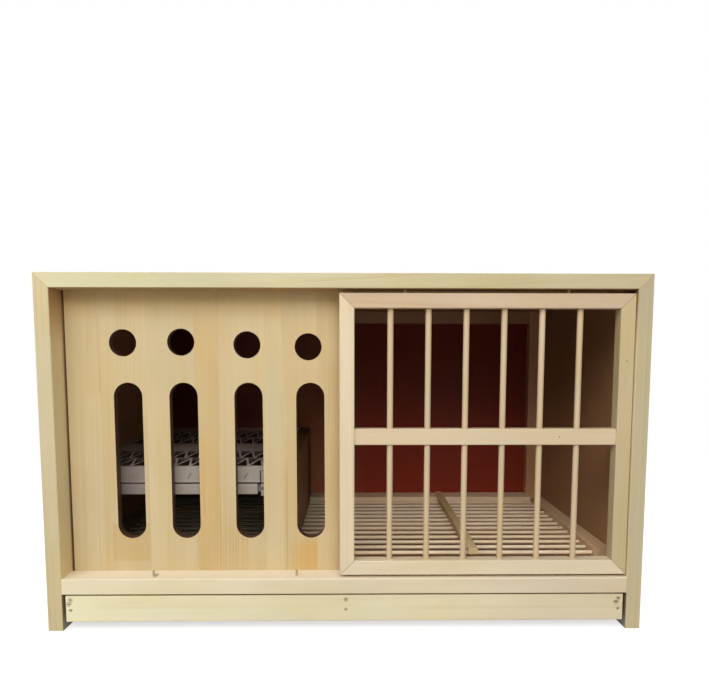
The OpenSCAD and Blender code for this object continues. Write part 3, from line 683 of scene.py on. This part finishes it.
def red_paint():
    """Dark red paint on plywood, with the grain faintly through it. Inside, painted shade darkens it above
    and left.
    """
    paint = new_shader("paint_red")
    x, y, z = paint.place()
    grain = paint.noise(x, y, paint.times(z, 0.06), scale=260.0, detail=3.0, roughness=0.6)
    cloud = paint.noise(x, y, z, scale=7.0, detail=3.0)
    inside = paint.fall(y, BACK_INNER_Y + 0.0005, BACK_INNER_Y + 0.0015)
    above = paint.step(z, SHADE_START_Z, SHADE_END_Z)
    left = paint.fall(x, SHADE_FULL_X, DUST_LOW)
    # Painted shade inside, above and to the left
    painted_shade = paint.times(inside, paint.total(0.0, (above, 0.42), (left, 0.34)))
    patchy = paint.step(cloud, 0.25, 0.7, 0.15, 0.5)
    dust = paint.times(inside, patchy, paint.band(x, DUST_LOW, DUST_HIGH, DUST_SOFT))
    bright = paint.total(0.66, (grain, 0.2), (cloud, 0.5), (painted_shade, -0.9))
    colour = paint.shade(paint.mix(dust, RED_TONE, STAIN_TONE), bright)
    roughness = paint.total(0.55, (cloud, 0.25))
    return paint.close(colour, roughness, grain, bump=0.15, depth=0.0004, **PAINT_SHEEN)


# Small slanted marks on the mat's lip: one mark's place, their pitch, slant and half sizes
LIP_MARK_X = -0.1408
LIP_MARK_Z = 0.2008
LIP_MARK_PITCH = 0.0794
LIP_MARK_SLANT = 0.7
LIP_MARK_HALF_W = 0.0011
LIP_MARK_HALF_H = 0.0038
# How far behind its front the painted shade in the mat's openings begins, and how far the painted shade at
# its left end reaches
LIP_BACK_START = 0.004
LIP_BACK_END = 0.006
LEFT_END_FULL = 0.075
LEFT_END_STOP = 0.115


def lip_marks(mould, x, y, z):
    """How strong the marks are. They lie on the lip's front face alone."""
    half_pitch = LIP_MARK_PITCH / 2
    aside = mould.calc("WRAP", mould.minus(x, LIP_MARK_X), half_pitch, -half_pitch)
    above = mould.minus(z, LIP_MARK_Z)
    slanted = mould.total(aside, (above, -LIP_MARK_SLANT))
    stroke = mould.band(slanted, -LIP_MARK_HALF_W, LIP_MARK_HALF_W, 0.0007)
    height = mould.band(above, -LIP_MARK_HALF_H, LIP_MARK_HALF_H, 0.001)
    face = mould.fall(y, MAT_LOW.y + 0.0004, MAT_LOW.y + 0.0010)
    return mould.times(stroke, height, face, 0.7)


def plastic():
    """Moulded grey-white plastic, dusty, with dark marks on its lip, and painted light and shade."""
    mould = new_shader("plastic_mat")
    x, y, z = mould.place()
    dust = mould.noise(x, y, z, scale=60.0, detail=4.0, roughness=0.65)
    cloud = mould.noise(x, y, z, scale=9.0)
    skin = mould.noise(x, y, z, scale=1400.0, detail=1.0)
    # Painted light and shade: walls darker than tops, and painted shade in the openings, where the lip meets
    # the rail and at the left end
    wall = mould.fall(mould.facing(Z_AXIS), 0.7, 0.9)
    opening_shade = mould.times(wall, mould.step(y, MAT_LOW.y + LIP_BACK_START, MAT_LOW.y + LIP_BACK_END))
    joint_shade = mould.band(z, LIP_RAIL_TOP - 0.0012, MAT_LOW.z + 0.0012, 0.0004)
    left_end_shade = mould.times(mould.fall(x, MAT_LOW.x + LEFT_END_FULL, MAT_LOW.x + LEFT_END_STOP), 0.55)
    marks_and_shade = mould.most(opening_shade, joint_shade, left_end_shade, lip_marks(mould, x, y, z))
    # Painted highlight: bright bands on the rail just under its top and on the lip just above its lower edge
    painted_highlight = mould.calc("ADD", mould.band(z, LIP_RAIL_TOP - 0.0034, LIP_RAIL_TOP - 0.0016, 0.0005),
                      mould.band(z, MAT_LOW.z + 0.0016, MAT_LOW.z + 0.0040, 0.0005))
    colour = mould.mix(mould.times(marks_and_shade, 0.9), PLASTIC_TONE, GRIME_AND_SHADE_TONE)
    bright = mould.total(1.45, (dust, 0.34), (cloud, 0.22), (painted_highlight, 0.14), (wall, -0.78))
    roughness = mould.total(0.38, (dust, 0.2))
    return mould.close(mould.shade(colour, bright), roughness, skin, bump=0.06, depth=0.0002)


def steel():
    """Dull wire brads."""
    metal = new_shader("steel_brad")
    x, y, z = metal.place()
    speck = metal.noise(x, y, z, scale=2500.0)
    colour = metal.shade(STEEL_TONE, metal.total(0.7, (speck, 0.6)))
    roughness = metal.total(0.55, (speck, 0.2))
    return metal.close(colour, roughness, speck, bump=0.1, depth=0.0001, Metallic=0.2)


def dress_others():
    """The painted back, the plastic mat with its carriers, and the nails and brads."""
    give("back_panel", red_paint())
    mat_plastic = plastic()
    for node in ("nest_mat", "mat_corner_clip", "platform_front_rail"):
        give(node, mat_plastic)
    brad_steel = steel()
    for node in ("back_panel_nails", "door_brads", "tray_brads"):
        give(node, brad_steel)


def make_camera():
    data = bpy.data.cameras.new("view")
    data.sensor_width = SENSOR_MM
    data.lens = FOCAL_PX * SENSOR_MM / PHOTO_W
    data.shift_x = (PHOTO_W / 2 - CENTRE_PX[0]) / PHOTO_W
    data.shift_y = (CENTRE_PX[1] - PHOTO_H / 2) / PHOTO_W
    camera = bpy.data.objects.new("view", data)
    camera.location = EYE
    camera.rotation_euler = (math.radians(90 - PITCH_DOWN), math.radians(ROLL), math.radians(-TURN_RIGHT))
    bpy.context.scene.collection.objects.link(camera)
    bpy.context.scene.camera = camera


# Soft lamps round the box: place, target, width, height and power
LAMPS = {
    "key": ((-0.45, -2.1, 1.70), (0.0, 0.0, 0.2), 2.4, 1.2, 39.0),
    "low": ((0.55, -2.35, 1.15), (0.1, 0.0, 0.2), 1.2, 1.0, 12.0),
    "side": ((-1.9, -1.4, 1.90), (0.1, 0.0, 0.2), 1.2, 1.0, 16.0),
    "top": ((0.0, -0.9, 2.30), (0.0, -0.2, 0.2), 1.6, 1.2, 8.0),
    "right": ((2.2, 0.5, 1.20), (0.0, 0.0, 0.2), 1.4, 1.2, 26.0),
    "left": ((-2.2, 0.4, 1.20), (0.0, 0.0, 0.2), 1.4, 1.2, 20.0),
    "back": ((0.0, 2.4, 1.40), (0.0, 0.0, 0.2), 2.0, 1.2, 30.0),
}


def make_lamp(name, place, target, width, height, power):
    """A soft lamp at place that faces target."""
    data = bpy.data.lights.new(name, "AREA")
    data.shape = "RECTANGLE"
    data.size = width
    data.size_y = height
    data.energy = power
    lamp = bpy.data.objects.new(name, data)
    lamp.location = place
    lamp.rotation_euler = (Vector(target) - Vector(place)).to_track_quat("-Z", "Y").to_euler()
    bpy.context.scene.collection.objects.link(lamp)


# Light from all round, as a share of white
FILL = 0.06


def seen_directly(shader):
    """1 for what the camera sees itself, in a mirror or through glass."""
    path = shader.add("ShaderNodeLightPath").outputs
    return shader.most(path["Is Camera Ray"], path["Is Glossy Ray"], path["Is Transmission Ray"])


def make_world():
    world = bpy.data.worlds.new("studio")
    bpy.context.scene.world = world
    studio = Shader(world)
    strength = studio.total(FILL, (seen_directly(studio), 1.0 - FILL))
    background = studio.add("ShaderNodeBackground", {"Color": grey(1.0), "Strength": strength})
    studio.add("ShaderNodeOutputWorld", {"Surface": background.outputs[0]})


# The studio floor: its radius, where it fades into white, and how far it is lifted towards white
FLOOR_REACH = 6.0
FLOOR_SIDES = 64
FADE_START = 0.9
FADE_END = 2.0
FLOOR_LIFT = 0.66
# Under the box the lift is less, as painted shade there: by this share, and this far inside its sides and
# its front and back
UNDER_SHADE_LOSS = 0.85
UNDER_SIDE = 0.08
UNDER_SIDE_SOFT = 0.03
UNDER_END = 0.045
UNDER_END_SOFT = 0.015


def floor_material():
    """Pale and matt, lifted towards white for the camera, less under the box as painted shade, and plain
    white far off.
    """
    ground = new_shader("studio_floor")
    x, y, _ = ground.place()
    cloud = ground.noise(x, y, 0.0, scale=3.0)
    pale = ground.shade(grey(0.5), ground.total(0.985, (cloud, 0.03)))
    matt = ground.add("ShaderNodeBsdfDiffuse", {"Color": pale}).outputs[0]
    under = ground.times(ground.band(x, CASE_LOW.x + UNDER_SIDE, CASE_HIGH.x - UNDER_SIDE, UNDER_SIDE_SOFT),
                         ground.band(y, CASE_LOW.y + UNDER_END, CASE_HIGH.y - UNDER_END, UNDER_END_SOFT))
    lift = ground.total(FLOOR_LIFT, (under, -UNDER_SHADE_LOSS * FLOOR_LIFT))
    glow = ground.add("ShaderNodeEmission", {"Color": grey(1.0), "Strength": lift}).outputs[0]
    white = ground.add("ShaderNodeEmission", {"Color": grey(1.0), "Strength": 1.0}).outputs[0]
    lifted = ground.add("ShaderNodeAddShader", {0: matt, 1: glow}).outputs[0]
    far = ground.step(ground.length(x, y), FADE_START, FADE_END)
    shown = ground.add("ShaderNodeMixShader", {0: far, 1: lifted, 2: white}).outputs[0]
    surface = ground.add("ShaderNodeMixShader", {0: seen_directly(ground), 1: matt, 2: shown}).outputs[0]
    ground.add("ShaderNodeOutputMaterial", {"Surface": surface})
    return ground.owner


def make_floor():
    """A round pale floor that keeps the box's shadow."""
    bm = bmesh.new()
    bmesh.ops.create_circle(bm, cap_ends=True, segments=FLOOR_SIDES, radius=FLOOR_REACH)
    mesh = bpy.data.meshes.new("studio_floor")
    bm.to_mesh(mesh)
    bm.free()
    mesh.materials.append(floor_material())
    floor = bpy.data.objects.new("studio_floor", mesh)
    floor.location.z = CASE_LOW.z
    bpy.context.scene.collection.objects.link(floor)


make_camera()
make_world()
for lamp_name, settings in LAMPS.items():
    make_lamp(lamp_name, *settings)
make_floor()
dress_wood()
dress_others()

bpy.context.scene.view_settings.view_transform = "Standard"
